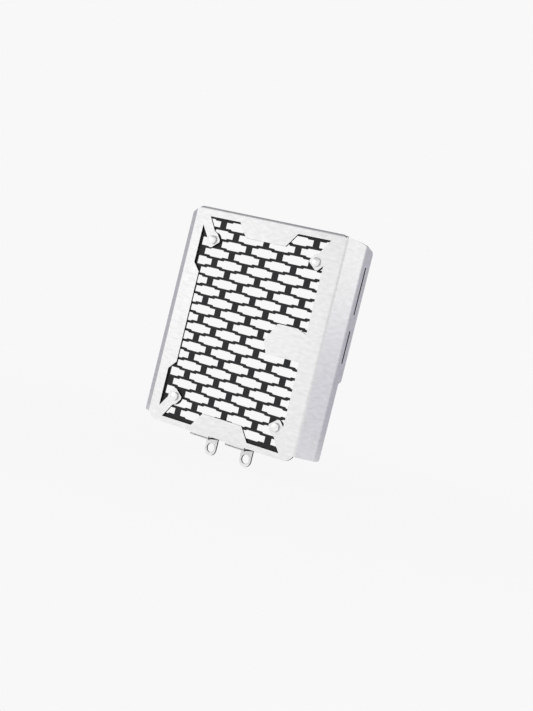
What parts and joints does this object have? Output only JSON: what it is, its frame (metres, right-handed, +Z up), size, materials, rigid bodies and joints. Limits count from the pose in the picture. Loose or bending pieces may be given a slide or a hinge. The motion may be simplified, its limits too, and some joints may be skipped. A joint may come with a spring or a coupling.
{
  "type": "motorcycle radiator guard",
  "caption": "Folded brushed-steel radiator guard frame with a black brick-pattern grille riveted behind its window, a slotted side flange and drilled bottom lugs.",
  "frame": {"origin": "midway between the two lug holes, on the lugs' rear faces", "axes": "+X to the right in the front view, +Y to the back through the lug holes, +Z up along the height"},
  "size_m": [0.2227, 0.0326, 0.2644],
  "materials": {
    "brushed_stainless": "brushed along the width",
    "black_powder_coat": "fine matt texture",
    "rivet_aluminium": "smooth"
  },
  "bodies": {
    "root": {"frame": "brushed_stainless", "grille": "black_powder_coat", "rivets": "rivet_aluminium"}
  },
  "joints": []
}
